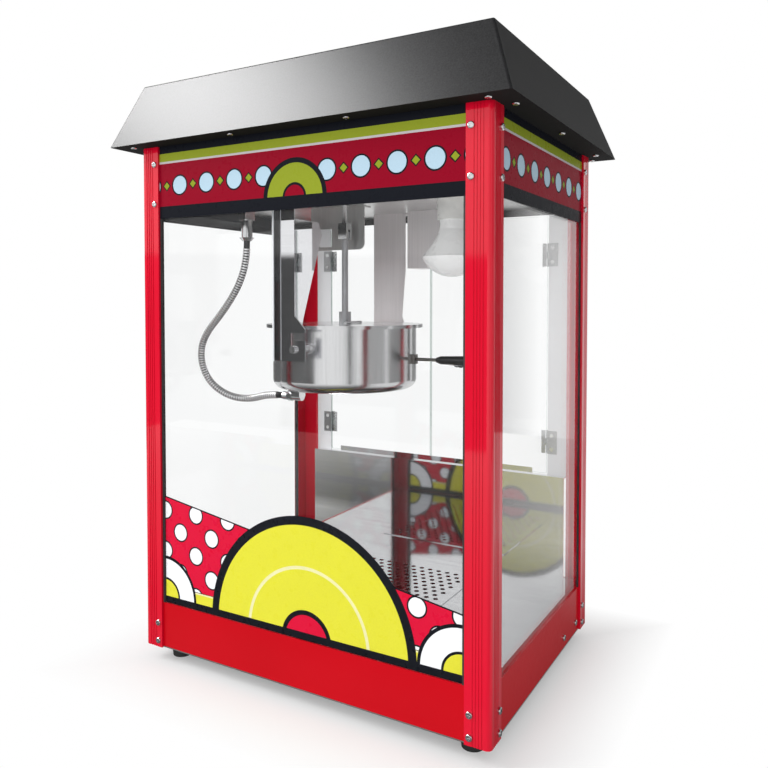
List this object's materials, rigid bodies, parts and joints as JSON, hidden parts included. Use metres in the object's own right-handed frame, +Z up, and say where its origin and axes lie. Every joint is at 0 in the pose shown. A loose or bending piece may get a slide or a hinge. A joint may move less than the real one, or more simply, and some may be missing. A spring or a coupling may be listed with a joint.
{
  "type": "popcorn maker",
  "caption": "Countertop popcorn machine: glazed red cabinet with fluted corner posts and a flared roof, tilting kettle with stirrer, rear doors, sieve floor and crumb drawer.",
  "frame": {"origin": "centre of the footprint, on the plane that the rubber feet stand on", "axes": "+X to the right as seen from the printed front, +Y to the rear doors, +Z up"},
  "size_m": [0.56, 0.42, 0.77],
  "materials": {
    "red_enamel": "gloss",
    "black_roof_paint": "satin",
    "sign_panel_print": "gloss",
    "plain_sheet": "satin",
    "polished_sheet": "polished",
    "polished_kettle": "polished",
    "bright_metal": "bright",
    "motor_metal": "satin",
    "element_sheath": "matt",
    "clear_pane": "clear",
    "frosted_bulb": "frosted",
    "white_ceramic": "satin",
    "black_rubber": "matt",
    "black_plastic": "satin",
    "red_rocker": "gloss"
  },
  "bodies": {
    "cabinet": {"base_front_rail": "red_enamel", "base_left_rail": "red_enamel", "base_right_rail": "red_enamel", "base_rear_rail": "red_enamel", "corner_post_front_left": "red_enamel", "corner_post_front_right": "red_enamel", "corner_post_rear_left": "red_enamel", "corner_post_rear_right": "red_enamel", "roof_shell": "black_roof_paint", "front_sign_panel": "sign_panel_print", "left_sign_panel": "sign_panel_print", "right_sign_panel": "sign_panel_print", "rear_control_panel": "sign_panel_print", "base_bottom_plate": "plain_sheet", "ceiling_plate": "plain_sheet", "control_box": "plain_sheet", "door_jambs": "plain_sheet", "floor_deck": "polished_sheet", "sieve_plate": "polished_sheet", "rear_sill": "polished_sheet", "front_kettle_hanger": "polished_sheet", "rear_kettle_hanger": "polished_sheet", "drive_guard": "polished_sheet", "pan_head_screws": "bright_metal", "jamb_hinges": "bright_metal", "conduit_ceiling_connector": "bright_metal", "flex_conduit": "bright_metal", "gear_motor": "motor_metal", "front_glass": "clear_pane", "left_glass": "clear_pane", "right_glass": "clear_pane", "lamp_bulb": "frosted_bulb", "lamp_holder": "white_ceramic", "rubber_feet": "black_rubber", "glazing_seals": "black_rubber", "power_inlet": "black_plastic", "switch_frames": "black_plastic"},
    "kettle": {"kettle_bowl": "polished_kettle", "kettle_floor_pan": "polished_kettle", "heating_element": "element_sheath", "kettle_trunnions": "polished_kettle", "kettle_lid": "polished_kettle", "lid_bush": "bright_metal", "handle_rod": "polished_kettle", "handle_grip": "black_plastic", "conduit_kettle_gland": "bright_metal", "lid_hinge_pin": "polished_kettle"},
    "lid_flap": {"lid_flap": "polished_kettle"},
    "stirrer": {"stirrer": "polished_kettle"},
    "drive_fork": {"drive_fork": "bright_metal"},
    "left_door": {"left_door": "clear_pane", "left_door_leaves": "bright_metal", "left_door_knob": "black_plastic"},
    "right_door": {"right_door": "clear_pane", "right_door_leaves": "bright_metal", "right_door_knob": "black_plastic"},
    "motor_switch": {"motor_switch": "red_rocker"},
    "heat_switch": {"heat_switch": "red_rocker"},
    "lamp_switch": {"lamp_switch": "red_rocker"},
    "crumb_drawer": {"crumb_drawer": "red_enamel"}
  },
  "joints": [
    {"name": "kettle_tilt", "type": "hinge", "parent": "cabinet", "child": "kettle", "pos_m": [-0.038, 0, 0.423], "axis": [0, 1, 0], "range_deg": [0, 100], "deforming": ["flex_conduit"]},
    {"name": "lid_flap_hinge", "type": "hinge", "parent": "kettle", "child": "lid_flap", "pos_m": [-0.032, 0, 0.4545], "axis": [0, -1, 0], "range_deg": [0, 95]},
    {"name": "stirrer_spin", "type": "hinge", "parent": "kettle", "child": "stirrer", "pos_m": [-0.046, 0, 0.4], "axis": [0, 0, 1], "continuous": true},
    {"name": "fork_spin", "type": "hinge", "parent": "cabinet", "child": "drive_fork", "pos_m": [-0.046, 0, 0.6], "axis": [0, 0, 1], "continuous": true},
    {"name": "left_door_swing", "type": "hinge", "parent": "cabinet", "child": "left_door", "pos_m": [-0.19125, 0.186, 0.4], "axis": [0, 0, 1], "range_deg": [0, 110]},
    {"name": "right_door_swing", "type": "hinge", "parent": "cabinet", "child": "right_door", "pos_m": [0.19125, 0.186, 0.4], "axis": [0, 0, -1], "range_deg": [0, 110]},
    {"name": "motor_switch_rock", "type": "hinge", "parent": "cabinet", "child": "motor_switch", "pos_m": [0.066, 0.174, 0.65425], "axis": [1, 0, 0], "range_deg": [0, 20]},
    {"name": "heat_switch_rock", "type": "hinge", "parent": "cabinet", "child": "heat_switch", "pos_m": [0.108, 0.174, 0.65425], "axis": [1, 0, 0], "range_deg": [0, 20]},
    {"name": "lamp_switch_rock", "type": "hinge", "parent": "cabinet", "child": "lamp_switch", "pos_m": [0.15, 0.174, 0.65425], "axis": [1, 0, 0], "range_deg": [0, 20]},
    {"name": "drawer_slide", "type": "slide", "parent": "cabinet", "child": "crumb_drawer", "axis": [0, 1, 0], "range_m": [0, 0.22]}
  ],
  "couplings": [
    {"joint": "fork_spin", "follows": "stirrer_spin", "ratio": 1}
  ]
}
